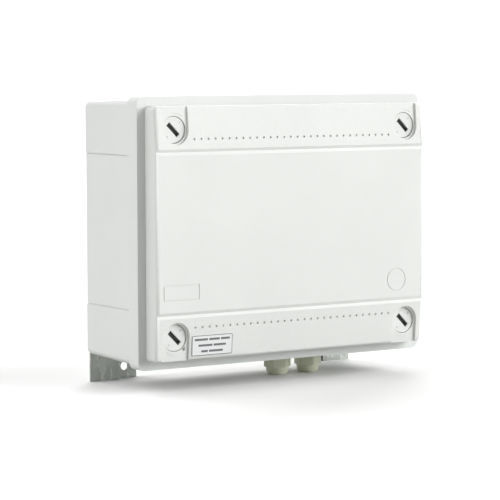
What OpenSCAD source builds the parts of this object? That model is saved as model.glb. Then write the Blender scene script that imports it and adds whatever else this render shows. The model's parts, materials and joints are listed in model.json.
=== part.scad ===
/* [Enclosure] */
// Width of the lid across its front face
lid_w = 240; // [236:1:250]
// Height of the lid across its front face
lid_h = 184; // [180:1:194]
// Depth of the lid's side wall, from its face to the rim
lid_depth = 15.4; // [14.4:0.2:17]
// How far the rim stands out beyond the lid at its left and right
rim_out = 6.5; // [5:0.5:8]
// How far the rim stands out beyond the lid at its top and bottom
rim_rise = 7; // [5:0.5:8]
// Depth of the thick rim around the open front of the base
rim_depth = 13.2; // [11:0.2:15]
// Depth of the closed box, from the lid's face to its back
box_depth = 97.4; // [97:0.2:104]
// Wall thickness of the base and the lid
wall = 2.6; // [2.4:0.1:3]
// Height of the rim above the surface the box stands on
ground_gap = 17; // [17:0.1:20]

/* [Lid] */
// How far the top and bottom bands of the lid slope back at their edges
band_drop = 2.4; // [1.6:0.2:2.8]
// Height of the flat centre band of the lid
centre_band_h = 117.6; // [112:0.4:120]
// Distance between the lid screws across the lid
screw_span_x = 206; // [200:1:208]
// Distance between the lid screws up the lid
screw_span_z = 150; // [146:1:151]
// Number of small dimples in each of the two rows
dimples = 30; // [10:1:30]
// Distance between dimples
dimple_pitch = 6; // [4:0.5:6]

/* [Brackets] */
// Thickness of the bracket sheet
sheet = 1.5; // [1:0.1:2]
// How far each bracket steps back from the box to the wall
bracket_step = 6.6; // [5.5:0.1:8]
// Height of each bracket
bracket_h = 196; // [150:1:200]
// Distance between the two lower wall holes
wall_hole_span = 173; // [168:1:178]
// Diameter of the wall holes
wall_hole_d = 6.5; // [4.5:0.5:7]

/* [Glands] */
// Places of the two cable glands across the box
gland_x = [20, 48.5];
// Place of the glands in the depth of the box
gland_y = 0.5; // [-4:0.5:4]
// Width across the flats of the gland nuts
gland_af = 19; // [17:1:19]
// Radius of the cable hole through each gland's seal
cable_r = 4; // [2:0.25:4]

/* [Devices] */
// Width of one module on the mounting rail
module_w = 18; // [17.6:0.1:18]
// Height of the rail-mounted devices
device_h = 82; // [78:1:86]
// Height of the devices' narrow front
nose_h = 45; // [44:0.5:46]
// Depth of the devices from the rail to their shoulder
shoulder_d = 43.5; // [43:0.5:44.5]
// Depth of the devices from the rail to their front
nose_d = 60; // [58:0.5:61]
// Radius of the insulated wires
wire_r = 2; // [1.4:0.1:2.2]

/* [Hidden] */
$fn = 48;
bit = 0.01;
run_fit = 0.05;
total_depth = box_depth + bracket_step + sheet;
rim_w = lid_w + 2 * rim_out;
rim_h = lid_h + 2 * rim_rise;
mid_z = ground_gap + rim_h / 2;
face_y = -total_depth / 2;
rim_y = face_y + lid_depth;
rim_back_y = rim_y + rim_depth;
back_y = face_y + box_depth;
wall_y = total_depth / 2;

// Base box
rim_step = 2.5;
draft = 1.8;
front_w = rim_w - 2 * rim_step;
front_h = rim_h - 2 * rim_step;
rear_w = front_w - 2 * draft;
rear_h = front_h - 2 * draft;
draft_angle = atan(draft / (back_y - rim_back_y));
deck_t = 3.5;
lid_gap = 0.15;
tongue_gap = 0.4;
tongue_t = 2.2;
tongue_h = 4;
tongue_w = lid_w - 2 * (wall + tongue_gap);
tongue_tall = lid_h - 2 * (wall + tongue_gap);
inner_back_y = back_y - wall;
side_zone_h = 113;
side_zone_d = 0.4;
side_line_w = 0.7;
side_line_d = 1;
groove_d = 1.6;
rim_corner_r = 5.5;
wall_corner_r = 4.5;
inner_corner_r = 4;
rail_boss_r = 6;
rail_pilot_r = 2.1;

// Wall brackets and the screws that hold them
near_plate_w = 23.6;
far_plate_w = 20.1;
bracket_outer_x = 119.6;
box_screw_x = 107.8;
box_screw_z = 48;
box_screw_hole_r = 2.2;
lower_hole_z = 9;
keyhole_r = 5.5;
keyhole_z = bracket_h - 22;
keyhole_rise = 10;
thread_r = 2;
pan_r = 4;
pan_h = 2.6;
recess_l = 5.4;
recess_w = 1;
recess_d = 1.2;
nut_af = 7;
nut_t = 3.2;

// Lid
edge_r = 2.4;
corner_r = 3;
groove_drop = 1.2;
dimple_row_z = 68.2;
dimple_r = 0.85;
dimple_depth = 1.7;
ring_x = 94.2;
ring_z = -42.7;
ring_r = 8.8;
frame_x = -99;
frame_z = -42.1;
frame_w = 30.4;
frame_h = 11.2;
mark_line = 0.6;
mark_depth = 0.4;
band_angle = atan(band_drop / (lid_h / 2 - centre_band_h / 2));
label_w = 35.2;
label_h = 15.2;
label_t = 0.25;
label_x = -72.3;
label_z = -81.7;

// Quarter-turn lid screws
screw_drop = (screw_span_z - centre_band_h) / 2 * tan(band_angle);
pocket_r = 11.3;
pocket_depth = 1.7;
pocket_back = band_drop + pocket_depth + 2.4;
head_r = 9.5;
head_gap = 0.4;
head_top = 4;
head_bottom = 7.6;
head_seat = head_bottom + 0.2;
boss_r = 11.6;
boss_end = 12;
shaft_r = 4;
catch_y = face_y + 20;
catch_t = 4;
lug_l = 12.4;
lug_w = 2.6;
lug_h = 3;
lug_gap = 0.6;
post_r = 8.6;
catch_room_r = 7.2;
catch_room_h = 6.5;
slot_angle = -45;
slot_l = 12.4;
slot_w = 3.6;
slot_depth = 3;
screw_places = [[-1, 1], [1, 1], [-1, -1], [1, -1]];

// Mounting rail
standoff_h = 6;
rail_w = 35;
rail_channel_w = 25;
rail_depth = 7.5;
rail_t = 1;
rail_l = 194;
rail_screw_x = 70;
rail_back_y = inner_back_y - standoff_h;
rail_y = rail_back_y - rail_depth;

// Places along the rail, from left to right
stop_w = 8;
end_gap = 0.2;
fuse_x = [-67, -31];
breaker_x = 5;
spd_x = 50;
pe_x = 81.2;
stop_x = [-89.4, 89.4];
pole_x = [-9, 9];
spd_poles = [-1, 0, 1];
plug_z = device_h / 2 - 10;
plus_y = rail_y - 18;
minus_y = rail_y - 25;
comb_plus_y = rail_y - 9;
comb_minus_y = rail_y - 4;

// Earth terminal and end stops
earth_half = 25;
earth_depth = 40;
earth_screw_z = 8;
stop_half = 20;
stop_depth = 32;

// Wires inside the box
bend_r = 8;
wire_in = 6;
low_run = device_h / 2 + 15;
high_run = device_h / 2 + 28;

// Fuse carriers
pivot_y = rail_y - 48;
pivot_z = -18.5;
pin_r = 1.5;
fuse_y = rail_y - 36;
fuse_r = 4.9;
cap_r = 5.15;
cap_l = 6.5;
fuse_top = 19.5;
fuse_bottom = -18.5;
carrier_w = 31.4;
fuse_ear_t = 1.8;

// Circuit breaker lever
lever_y = rail_y - nose_d + 4;
lever_hub_r = 6;
lever_angle = 38;
lever_l = 17;
lever_w = 24;
lever_t = 4;
hub_w = 26;

// Surge protector cartridges
cartridge_w = 16.8;
cartridge_pitch = 17.2;
cartridge_back = 20.4;
blade_z = 14;

// Cable glands
gland_pad_z = mid_z - rim_h / 2 + 2.7;
gland_pad_r = 13;
gland_pad_t = 5;
washer_t = 1;
washer_r = 10;
flange_t = 4;
locknut_af = 22;
locknut_t = 5;
dome_hex_z = 6.2;
dome_top_r = 8.8;
dome_end_r = 6;
gland_thread_r = 7.6;
dome_thread_r = 7.4;
gland_bore_r = 5.4;
cable_mouth_r = 4.7;
seal_z = 4.6;
seal_h = 10;

// ---- Shared shapes ----

// Rectangle with round corners, centred
module round_rect(w, h, r) {
    square([w - 2 * r, h], center = true);
    square([w, h - 2 * r], center = true);
    for (sx = [-1, 1], sz = [-1, 1])
        translate([sx * (w / 2 - r), sz * (h / 2 - r)])
            circle(r);
}

// Upright slab around the box's centre, from y0 back to y1
module slab(w, h, r, y0, y1) {
    translate([0, y1, mid_z])
        rotate([90, 0, 0])
            linear_extrude(y1 - y0)
                round_rect(w, h, r);
}

// Round bar along Y, from y0 back to y1
module bar_y(x, z, r, y0, y1) {
    translate([x, y0, z])
        rotate([-90, 0, 0])
            cylinder(h = y1 - y0, r = r);
}

// Round bar along X, centred at x
module bar_x(x, y, z, r, l) {
    translate([x - l / 2, y, z])
        rotate([0, 90, 0])
            cylinder(h = l, r = r);
}

// Outline in the YZ plane carried along X, centred at x
module along_x(x, w) {
    translate([x - w / 2, 0, mid_z])
        rotate([90, 0, 90])
            linear_extrude(w)
                children();
}

// Block given by its lowest and highest corners, height measured from the box's middle
module block(x0, x1, y0, y1, z0, z1) {
    translate([x0, y0, mid_z + z0])
        cube([x1 - x0, y1 - y0, z1 - z0]);
}

// Box wall that leans in by the draft towards the back
module tapered(w0, h0, w1, h1, r, y0, y1) {
    hull() {
        slab(w0, h0, r, y0, y0 + bit, $fn = 32);
        slab(w1, h1, r, y1 - bit, y1, $fn = 32);
    }
}

// ---- Base box ----

module catch_post(sx, sz) {
    x = sx * screw_span_x / 2;
    z = mid_z + sz * screw_span_z / 2;
    difference() {
        bar_y(x, z, post_r, catch_y, inner_back_y + 1);
        bar_y(x, z, shaft_r + 0.4, catch_y - 1, catch_y + catch_t + 1);
        translate([x, catch_y + catch_t / 2, z])
            rotate([0, -slot_angle, 0])
                cube([lug_l + 0.8, catch_t + 2, lug_w + 0.7], center = true);
        bar_y(x, z, catch_room_r, catch_y + catch_t, catch_y + catch_t + catch_room_h);
    }
}

// Shallow zone in the middle of a side wall, with a fine line along its top and its bottom
module side_recess(side) {
    mid_w = front_w / 2 - draft / 2;
    translate([side * mid_w, (rim_back_y + back_y) / 2, mid_z])
        rotate([0, 0, side * draft_angle]) {
            translate([side * (4 - side_zone_d), 0, 0])
                cube([8, 90, side_zone_h], center = true);
            for (sz = [-1, 1])
                translate([side * (4 - side_line_d), 0, sz * (side_zone_h - side_line_w) / 2])
                    cube([8, 90, side_line_w], center = true);
        }
}

// Thick rim and drafted walls around one open space
module open_shell() {
    difference() {
        union() {
            slab(rim_w, rim_h, rim_corner_r, rim_y, rim_back_y);
            difference() {
                tapered(front_w, front_h, rear_w, rear_h, wall_corner_r, rim_back_y - 1, back_y);
                side_recess(-1);
                side_recess(1);
            }
        }
        tapered(front_w - 2 * wall, front_h - 2 * wall, rear_w - 2 * wall,
                rear_h - 2 * wall, inner_corner_r, rim_y + deck_t, inner_back_y);
        slab(tongue_w - 2 * tongue_t, tongue_tall - 2 * tongue_t, inner_corner_r,
             rim_y - 1, rim_y + deck_t + 1);
    }
}

module base_shell() {
    difference() {
        union() {
            open_shell();
            for (x = gland_x)
                translate([x, gland_y, gland_pad_z])
                    cylinder(h = gland_pad_t, r = gland_pad_r);
        }
        difference() {
            slab(lid_w - 0.4, lid_h - 0.4, 5, rim_y - 1, rim_y + groove_d);
            slab(tongue_w + 1, tongue_tall + 1, inner_corner_r, rim_y - 2,
                 rim_y + groove_d + 1);
        }
        for (x = gland_x)
            translate([x, gland_y, gland_pad_z - 1])
                cylinder(h = gland_pad_t + 2, r = gland_thread_r + 0.1);
        for (sx = [-1, 1], sz = [-1, 1])
            bar_y(sx * box_screw_x, mid_z + sz * box_screw_z, box_screw_hole_r,
                  inner_back_y - 1, back_y + 1);
    }
}

module base_box() {
    color([0.90, 0.91, 0.90]) {
        base_shell();
        difference() {
            slab(tongue_w, tongue_tall, inner_corner_r, rim_y - tongue_h, rim_y + 1);
            slab(tongue_w - 2 * tongue_t, tongue_tall - 2 * tongue_t, inner_corner_r,
                 rim_y - tongue_h - 1, rim_y + 2);
        }
        for (p = screw_places)
            catch_post(p[0], p[1]);
        for (sx = [-1, 1])
            difference() {
                bar_y(sx * rail_screw_x, mid_z, rail_boss_r, rail_back_y, inner_back_y + 1);
                bar_y(sx * rail_screw_x, mid_z, rail_pilot_r, rail_back_y - 1, inner_back_y);
            }
    }
}

module lid_gasket() {
    color([0.15, 0.15, 0.15])
        difference() {
            slab(lid_w - 1, lid_h - 1, 5, rim_y + 0.1, rim_y + groove_d);
            slab(tongue_w + 1.8, tongue_tall + 1.8, 4, rim_y - 1, rim_y + groove_d + 1);
        }
}

// ---- Wall brackets ----

module bracket_shape() {
    web_x = -bracket_outer_x + near_plate_w;
    hole_x = -wall_hole_span / 2;
    difference() {
        union() {
            translate([-bracket_outer_x, back_y, 0])
                cube([near_plate_w + sheet, sheet, bracket_h]);
            translate([web_x, back_y, 0])
                cube([sheet, bracket_step + sheet, bracket_h]);
            translate([web_x, wall_y - sheet, 0])
                cube([far_plate_w, sheet, bracket_h]);
        }
        for (z = [lower_hole_z, keyhole_z + keyhole_rise])
            bar_y(hole_x, z, wall_hole_d / 2, wall_y - sheet - 1, wall_y + 1);
        bar_y(hole_x, keyhole_z, keyhole_r, wall_y - sheet - 1, wall_y + 1);
        translate([hole_x - wall_hole_d / 2, wall_y - sheet - 1, keyhole_z])
            cube([wall_hole_d, sheet + 2, keyhole_rise]);
        for (sz = [-1, 1])
            bar_y(-box_screw_x, mid_z + sz * box_screw_z, box_screw_hole_r, back_y - 1,
                  back_y + sheet + 1);
    }
}

module bracket_left() {
    color([0.60, 0.61, 0.60])
        bracket_shape();
}

module bracket_right() {
    color([0.60, 0.61, 0.60])
        mirror([1, 0, 0])
            bracket_shape();
}

// Children are placed at each of the four screws that hold the brackets
module at_box_screws() {
    for (sx = [-1, 1], sz = [-1, 1])
        translate([sx * box_screw_x, 0, mid_z + sz * box_screw_z])
            children();
}

module bracket_screws() {
    head_y = back_y + sheet;
    color([0.72, 0.72, 0.70])
        at_box_screws() {
            bar_y(0, 0, thread_r, inner_back_y - 6, head_y + 0.5);
            difference() {
                bar_y(0, 0, pan_r, head_y, head_y + pan_h);
                for (turn = [0, 90])
                    translate([0, head_y + pan_h, 0])
                        rotate([0, turn, 0])
                            cube([recess_l, 2 * recess_d, recess_w], center = true);
            }
        }
}

module bracket_washers() {
    color([0.72, 0.72, 0.70])
        at_box_screws()
            difference() {
                bar_y(0, 0, pan_r + 0.5, inner_back_y - 0.8, inner_back_y);
                bar_y(0, 0, thread_r + 0.15, inner_back_y - 2, inner_back_y + 1);
            }
}

module bracket_nuts() {
    color([0.72, 0.72, 0.70])
        at_box_screws()
            translate([0, inner_back_y - 0.8, 0])
                rotate([90, 0, 0])
                    difference() {
                        cylinder(h = nut_t, r = nut_af / sqrt(3), $fn = 6);
                        translate([0, 0, -1])
                            cylinder(h = nut_t + 2, r = thread_r + 0.02);
                    }
}

// ---- Mounting rail ----

module rail_outline() {
    c = rail_channel_w / 2;
    translate([rail_back_y - rail_t, -c])
        square([rail_t, rail_channel_w]);
    for (s = [-1, 1]) {
        translate([rail_y, s > 0 ? c - rail_t : -c])
            square([rail_depth, rail_t]);
        translate([rail_y, s > 0 ? c - rail_t : -rail_w / 2])
            square([rail_t, rail_w / 2 - c + rail_t]);
    }
}

module din_rail() {
    color([0.75, 0.75, 0.72])
        difference() {
            along_x(0, rail_l)
                rail_outline();
            for (sx = [-1, 1])
                bar_y(sx * rail_screw_x, mid_z, 2.3, rail_back_y - 3, rail_back_y + 1);
        }
}

module rail_screws() {
    head_y = rail_back_y - rail_t;
    color([0.72, 0.72, 0.70])
        for (sx = [-1, 1]) {
            bar_y(sx * rail_screw_x, mid_z, rail_pilot_r - 0.05, head_y - 0.5, rail_back_y + 5);
            difference() {
                bar_y(sx * rail_screw_x, mid_z, pan_r + 0.4, head_y - pan_h, head_y);
                translate([sx * rail_screw_x, head_y - pan_h, mid_z])
                    cube([recess_l, 2 * recess_d, recess_w], center = true);
            }
        }
}

// ---- Shapes shared by the devices on the rail ----

// Feet that grip the two edges of the rail
module rail_feet() {
    for (s = [-1, 1]) {
        translate([rail_y - 1, s > 0 ? rail_w / 2 + 0.2 : -rail_w / 2 - 6.2])
            square([5, 6]);
        translate([rail_y + rail_t + 0.3, s > 0 ? rail_w / 2 - 1.8 : -rail_w / 2 - 0.7])
            square([2.7, 2.5]);
    }
}

// Side outline of a device, up to its shoulder
module body_outline(half_h, depth) {
    polygon([
        [rail_y, half_h], [rail_y - depth + 10, half_h], [rail_y - depth, half_h - 5],
        [rail_y - depth, 5 - half_h], [rail_y - depth + 10, -half_h], [rail_y, -half_h]
    ]);
    rail_feet();
}

module nose_outline() {
    translate([rail_y - nose_d, -nose_h / 2])
        square([nose_d - shoulder_d + 1, nose_h]);
}

// Wire holes and screw holes of one pole: two wire holes, a comb slot and a screw hole
module pole_cuts(x, side) {
    end_z = side * device_h / 2;
    for (y = [plus_y, minus_y])
        translate([x, y, mid_z + end_z - side * 4.5])
            cylinder(h = 11, r = wire_r + 0.4, center = true);
    bar_y(x, mid_z + side * plug_z, 3.2, rail_y - shoulder_d - 1, rail_y - shoulder_d + 12);
}

// Slots for the prongs of the comb bars in the top of one pole
module comb_cuts(x, y) {
    translate([x, y, mid_z + device_h / 2 - 4])
        cube([4.4, 2.2, 10], center = true);
}

// ---- Fuse holders ----

module fuse_base(x) {
    w = 2 * module_w - 2 * end_gap;
    color([0.80, 0.81, 0.80])
        difference() {
            union() {
                along_x(x, w)
                    body_outline(device_h / 2, shoulder_d);
                for (s = [-1, 1])
                    along_x(x + s * (w / 2 - fuse_ear_t / 2), fuse_ear_t) {
                        translate([pivot_y, pivot_z])
                            circle(4.5);
                        translate([pivot_y, pivot_z - 4.5])
                            square([6, 9]);
                    }
            }
            block(x - w / 2 + fuse_ear_t, x + w / 2 - fuse_ear_t,
                  rail_y - shoulder_d - 8, rail_y - 27, -20.5, 25);
            for (p = pole_x, side = [-1, 1])
                pole_cuts(x + p, side);
            comb_cuts(x + pole_x[0], comb_plus_y);
            comb_cuts(x + pole_x[1], comb_minus_y);
            bar_x(x, pivot_y, mid_z + pivot_z, pin_r + 0.02, w + 2);
        }
}

module fuse_base_1() {
    fuse_base(fuse_x[0]);
}

module fuse_base_2() {
    fuse_base(fuse_x[1]);
}

module fuse_hinge_pins() {
    color([0.75, 0.75, 0.75])
        for (x = fuse_x)
            bar_x(x, pivot_y, mid_z + pivot_z, pin_r, 2 * module_w - 2 * end_gap - 0.4);
}

// Spring jaws that hold the two end caps of each fuse
module fuse_clips() {
    jaw_in = cap_r + 0.35;
    jaw_out = jaw_in + 0.6;
    jaw_back = rail_y - 27;
    color([0.80, 0.52, 0.30])
        for (x = fuse_x, p = pole_x, z0 = [13.5, -17.5]) {
            c = x + p;
            block(c - jaw_out, c - jaw_in, fuse_y - 2, jaw_back, z0, z0 + 5);
            block(c + jaw_in, c + jaw_out, fuse_y - 2, jaw_back, z0, z0 + 5);
            block(c - jaw_out, c + jaw_out, jaw_back - 0.8, jaw_back, z0, z0 + 5);
        }
}

module fuse_carrier(x) {
    nose_back = rail_y - shoulder_d - 0.4;
    nose_front = rail_y - nose_d;
    half = nose_h / 2 - 0.2;
    color([0.25, 0.27, 0.28])
        difference() {
            union() {
                along_x(x, carrier_w)
                    polygon([
                        [nose_back, half], [nose_front + 2, half], [nose_front, half - 2],
                        [nose_front, 6], [nose_front - 3, 4], [nose_front - 3, -2],
                        [nose_front, -4], [nose_front, 2 - half], [nose_front + 2, -half],
                        [nose_back - 3.5, -half], [nose_back, 3.5 - half]
                    ]);
                for (p = pole_x)
                    block(x + p - 6.8, x + p + 6.8, nose_back - 1, fuse_y, -11, 12);
            }
            for (p = pole_x)
                translate([x + p, fuse_y, mid_z - 12])
                    cylinder(h = 26, r = fuse_r + 0.1);
            bar_x(x, pivot_y, mid_z + pivot_z, pin_r + run_fit, carrier_w + 2);
        }
}

module fuse_carrier_1() {
    fuse_carrier(fuse_x[0]);
}

module fuse_carrier_2() {
    fuse_carrier(fuse_x[1]);
}

module fuse_tubes(x) {
    z0 = fuse_bottom + cap_l;
    color([0.93, 0.91, 0.86])
        for (p = pole_x)
            translate([x + p, fuse_y, mid_z + z0])
                cylinder(h = fuse_top - cap_l - z0, r = fuse_r);
}

module fuse_tubes_1() {
    fuse_tubes(fuse_x[0]);
}

module fuse_tubes_2() {
    fuse_tubes(fuse_x[1]);
}

module fuse_caps(x) {
    color([0.80, 0.80, 0.78])
        for (p = pole_x, z0 = [fuse_bottom, fuse_top - cap_l])
            translate([x + p, fuse_y, mid_z + z0])
                cylinder(h = cap_l, r = cap_r);
}

module fuse_caps_1() {
    fuse_caps(fuse_x[0]);
}

module fuse_caps_2() {
    fuse_caps(fuse_x[1]);
}

// Flat bar with one prong into each of two poles
module comb_bar(x0, x1, y) {
    top = device_h / 2;
    block(x0 - 2, x1 + 2, y - 0.75, y + 0.75, top + 1.5, top + 8);
    for (x = [x0, x1])
        block(x - 1.6, x + 1.6, y - 0.75, y + 0.75, top - 7, top + 2);
}

module comb_bar_plus() {
    color([0.80, 0.52, 0.30])
        comb_bar(fuse_x[0] + pole_x[0], fuse_x[1] + pole_x[0], comb_plus_y);
}

module comb_bar_minus() {
    color([0.80, 0.52, 0.30])
        comb_bar(fuse_x[0] + pole_x[1], fuse_x[1] + pole_x[1], comb_minus_y);
}

// ---- Circuit breaker ----

module breaker_body() {
    w = 2 * module_w - 2 * end_gap;
    color([0.82, 0.83, 0.82])
        difference() {
            along_x(breaker_x, w) {
                body_outline(device_h / 2, shoulder_d);
                nose_outline();
            }
            bar_x(breaker_x, lever_y, mid_z, lever_hub_r + 0.6, hub_w + 1.2);
            block(breaker_x - hub_w / 2 - 0.6, breaker_x + hub_w / 2 + 0.6,
                  rail_y - nose_d - 1, lever_y, -9, 9);
            for (p = pole_x, side = [-1, 1])
                pole_cuts(breaker_x + p, side);
            bar_x(breaker_x, lever_y, mid_z, pin_r + 0.02, w - 2);
        }
}

module breaker_pin() {
    color([0.75, 0.75, 0.75])
        bar_x(breaker_x, lever_y, mid_z, pin_r, 2 * module_w - 2 * end_gap - 2.4);
}

module breaker_lever() {
    color([0.12, 0.12, 0.13])
        difference() {
            union() {
                bar_x(breaker_x, lever_y, mid_z, lever_hub_r, hub_w);
                translate([breaker_x, lever_y, mid_z])
                    rotate([-lever_angle, 0, 0])
                        translate([-lever_w / 2, -lever_l, -lever_t / 2])
                            cube([lever_w, lever_l, lever_t]);
            }
            bar_x(breaker_x, lever_y, mid_z, pin_r + run_fit, hub_w + 2);
        }
}

// ---- Surge protector ----

module surge_base() {
    w = 3 * module_w - 2 * end_gap;
    bay = 3 * cartridge_pitch + 0.4;
    color([0.80, 0.81, 0.80])
        difference() {
            along_x(spd_x, w)
                body_outline(device_h / 2, shoulder_d);
            block(spd_x - bay / 2, spd_x + bay / 2, rail_y - shoulder_d - 1, rail_y - 20,
                  -nose_h / 2 - 0.3, nose_h / 2 + 0.3);
            for (i = spd_poles, s = [-1, 1])
                block(spd_x + i * cartridge_pitch - 1, spd_x + i * cartridge_pitch + 1,
                      rail_y - 21, rail_y - 11, s * blade_z - 4, s * blade_z + 4);
            for (i = spd_poles, side = [-1, 1])
                pole_cuts(spd_x + i * module_w, side);
        }
}

module surge_cartridge(i) {
    x = spd_x + i * cartridge_pitch;
    front = rail_y - nose_d;
    half = nose_h / 2 - 0.1;
    color([0.75, 0.20, 0.14])
        difference() {
            along_x(x, cartridge_w)
                polygon([
                    [rail_y - cartridge_back, half], [front + 2, half], [front - 2, half - 6],
                    [front - 2, 6 - half], [front + 2, -half], [rail_y - cartridge_back, -half]
                ]);
            block(x - 3.5, x + 3.5, front - 3, front - 1.4, 4, 9);
        }
}

module surge_cartridge_1() {
    surge_cartridge(spd_poles[0]);
}

module surge_cartridge_2() {
    surge_cartridge(spd_poles[1]);
}

module surge_cartridge_3() {
    surge_cartridge(spd_poles[2]);
}

module surge_blades(i) {
    x = spd_x + i * cartridge_pitch;
    color([0.78, 0.78, 0.75])
        for (s = [-1, 1])
            block(x - 0.5, x + 0.5, rail_y - cartridge_back, rail_y - 13,
                  s * blade_z - 3, s * blade_z + 3);
}

module surge_blades_1() {
    surge_blades(spd_poles[0]);
}

module surge_blades_2() {
    surge_blades(spd_poles[1]);
}

module surge_blades_3() {
    surge_blades(spd_poles[2]);
}

// ---- Earth terminal, end stops and terminal screws ----

module earth_terminal() {
    color([0.45, 0.62, 0.20])
        difference() {
            along_x(pe_x, stop_w - end_gap) {
                polygon([
                    [rail_y, earth_half], [rail_y - 22, earth_half], [rail_y - earth_depth, 12],
                    [rail_y - earth_depth, -12], [rail_y - 22, -earth_half],
                    [rail_y, -earth_half]
                ]);
                rail_feet();
            }
            for (side = [-1, 1]) {
                translate([pe_x, plus_y, mid_z + side * (earth_half - 4.5)])
                    cylinder(h = 11, r = wire_r + 0.4, center = true);
                bar_y(pe_x, mid_z + side * earth_screw_z, 2.4, rail_y - earth_depth - 1,
                      rail_y - earth_depth + 8);
            }
        }
}

module end_stops() {
    color([0.55, 0.56, 0.56])
        for (x = stop_x)
            difference() {
                along_x(x, stop_w)
                    body_outline(stop_half, stop_depth);
                bar_y(x, mid_z, 2.6, rail_y - stop_depth - 1, rail_y - stop_depth + 6);
            }
}

// Slotted screw at the bottom of its hole, front face at y
module small_screw(x, z, r, y) {
    difference() {
        bar_y(x, mid_z + z, r, y, y + 3);
        translate([x, y, mid_z + z])
            cube([2 * r + 1, 2, 0.9], center = true);
    }
}

module terminal_screws() {
    y = rail_y - shoulder_d + 8;
    device_poles = concat(
        [for (x = fuse_x, p = pole_x) x + p],
        [for (p = pole_x) breaker_x + p],
        [for (i = spd_poles) spd_x + i * module_w]
    );
    color([0.78, 0.78, 0.75]) {
        for (x = device_poles, side = [-1, 1])
            small_screw(x, side * plug_z, 3, y);
        for (side = [-1, 1])
            small_screw(pe_x, side * earth_screw_z, 2.2, rail_y - earth_depth + 4);
        for (x = stop_x)
            small_screw(x, 0, 2.4, rail_y - stop_depth + 2);
    }
}

// ---- Wires inside the box ----

// Quarter bend in the XZ plane, from angle a0 to a0 + 90
module quarter_bend(x, y, z, a0) {
    translate([x, y, z])
        rotate([90, 0, 0])
            rotate([0, 0, a0])
                rotate_extrude(angle = 90)
                    translate([bend_r, 0])
                        circle(wire_r, $fn = 24);
}

// Wire that leaves two terminals at heights z0 and z1, runs to height top and across
module arch_wire(x0, z0, x1, z1, y, top) {
    run_z = mid_z + top;
    for (e = [[x0, z0], [x1, z1]])
        translate([e[0], y, mid_z + e[1] - wire_in])
            cylinder(h = top - bend_r - e[1] + wire_in, r = wire_r, $fn = 24);
    quarter_bend(x0 + bend_r, y, run_z - bend_r, 90);
    quarter_bend(x1 - bend_r, y, run_z - bend_r, 0);
    translate([x0 + bend_r, y, run_z])
        rotate([0, 90, 0])
            cylinder(h = x1 - x0 - 2 * bend_r, r = wire_r, $fn = 24);
}

module plus_wire() {
    color([0.72, 0.10, 0.08])
        arch_wire(fuse_x[1] + pole_x[0], device_h / 2, breaker_x + pole_x[1], device_h / 2,
                  plus_y, high_run);
}

module minus_wire() {
    color([0.08, 0.08, 0.09])
        arch_wire(fuse_x[1] + pole_x[1], device_h / 2, breaker_x + pole_x[0], device_h / 2,
                  plus_y, low_run);
}

module surge_plus_wire() {
    color([0.72, 0.10, 0.08])
        arch_wire(breaker_x + pole_x[1], device_h / 2, spd_x - module_w, device_h / 2,
                  minus_y, low_run);
}

module surge_minus_wire() {
    color([0.08, 0.08, 0.09])
        arch_wire(breaker_x + pole_x[0], device_h / 2, spd_x + module_w, device_h / 2,
                  minus_y, high_run);
}

module earth_wire() {
    color([0.45, 0.62, 0.20])
        translate([0, 0, 2 * mid_z])
            mirror([0, 0, 1])
                arch_wire(spd_x, device_h / 2, pe_x, earth_half, plus_y, low_run);
}

// ---- Cable glands ----

module hex_bar(af, z0, z1) {
    translate([0, 0, z0])
        intersection() {
            cylinder(h = z1 - z0, r = af / sqrt(3), $fn = 6);
            cylinder(h = z1 - z0, r = af / 2 * 1.095);
        }
}

module gland_body(i, turn) {
    flange_top = gland_pad_z - washer_t;
    flange_bottom = flange_top - flange_t;
    thread_top = flange_bottom + 20;
    color([0.50, 0.51, 0.44])
        translate([gland_x[i], gland_y, 0])
            difference() {
                union() {
                    rotate([0, 0, turn])
                        hex_bar(gland_af, flange_bottom, flange_top);
                    translate([0, 0, flange_bottom])
                        cylinder(h = thread_top - flange_bottom, r = gland_thread_r);
                    translate([0, 0, 5])
                        cylinder(h = flange_bottom - 4.5, r = dome_thread_r);
                }
                translate([0, 0, 4])
                    cylinder(h = thread_top, r = gland_bore_r);
            }
}

module gland_body_left() {
    gland_body(0, 12);
}

module gland_body_right() {
    gland_body(1, 40);
}

module gland_seals() {
    color([0.10, 0.10, 0.10])
        for (x = gland_x)
            translate([x, gland_y, seal_z])
                difference() {
                    cylinder(h = seal_h, r = gland_bore_r - 0.02);
                    translate([0, 0, -1])
                        cylinder(h = seal_h + 2, r = cable_r);
                }
}

module gland_washers() {
    color([0.12, 0.12, 0.12])
        for (x = gland_x)
            translate([x, gland_y, gland_pad_z - washer_t])
                difference() {
                    cylinder(h = washer_t, r = washer_r);
                    translate([0, 0, -1])
                        cylinder(h = washer_t + 2, r = gland_thread_r + 0.05);
                }
}

module gland_locknuts() {
    color([0.50, 0.51, 0.44])
        for (x = gland_x)
            translate([x, gland_y, 0])
                difference() {
                    hex_bar(locknut_af, gland_pad_z + gland_pad_t,
                            gland_pad_z + gland_pad_t + locknut_t);
                    translate([0, 0, gland_pad_z])
                        cylinder(h = 20, r = gland_thread_r + 0.02);
                }
}

module gland_dome(i, turn) {
    hex_top = gland_pad_z - washer_t - flange_t - 0.2;
    color([0.50, 0.51, 0.44])
        translate([gland_x[i], gland_y, 0])
            difference() {
                union() {
                    rotate([0, 0, turn])
                        hex_bar(gland_af, dome_hex_z, hex_top);
                    rotate_extrude()
                        polygon(concat(
                            [[0, 0]],
                            [for (a = [90:-10:0])
                                [dome_end_r + (dome_top_r - dome_end_r) * cos(a),
                                 dome_hex_z * (1 - sin(a))]],
                            [[dome_top_r, dome_hex_z + 1], [0, dome_hex_z + 1]]
                        ));
                }
                translate([0, 0, 4])
                    cylinder(h = 40, r = dome_thread_r + run_fit);
                translate([0, 0, -1])
                    cylinder(h = 10, r = cable_mouth_r);
            }
}

module gland_dome_left() {
    gland_dome(0, 38);
}

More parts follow.
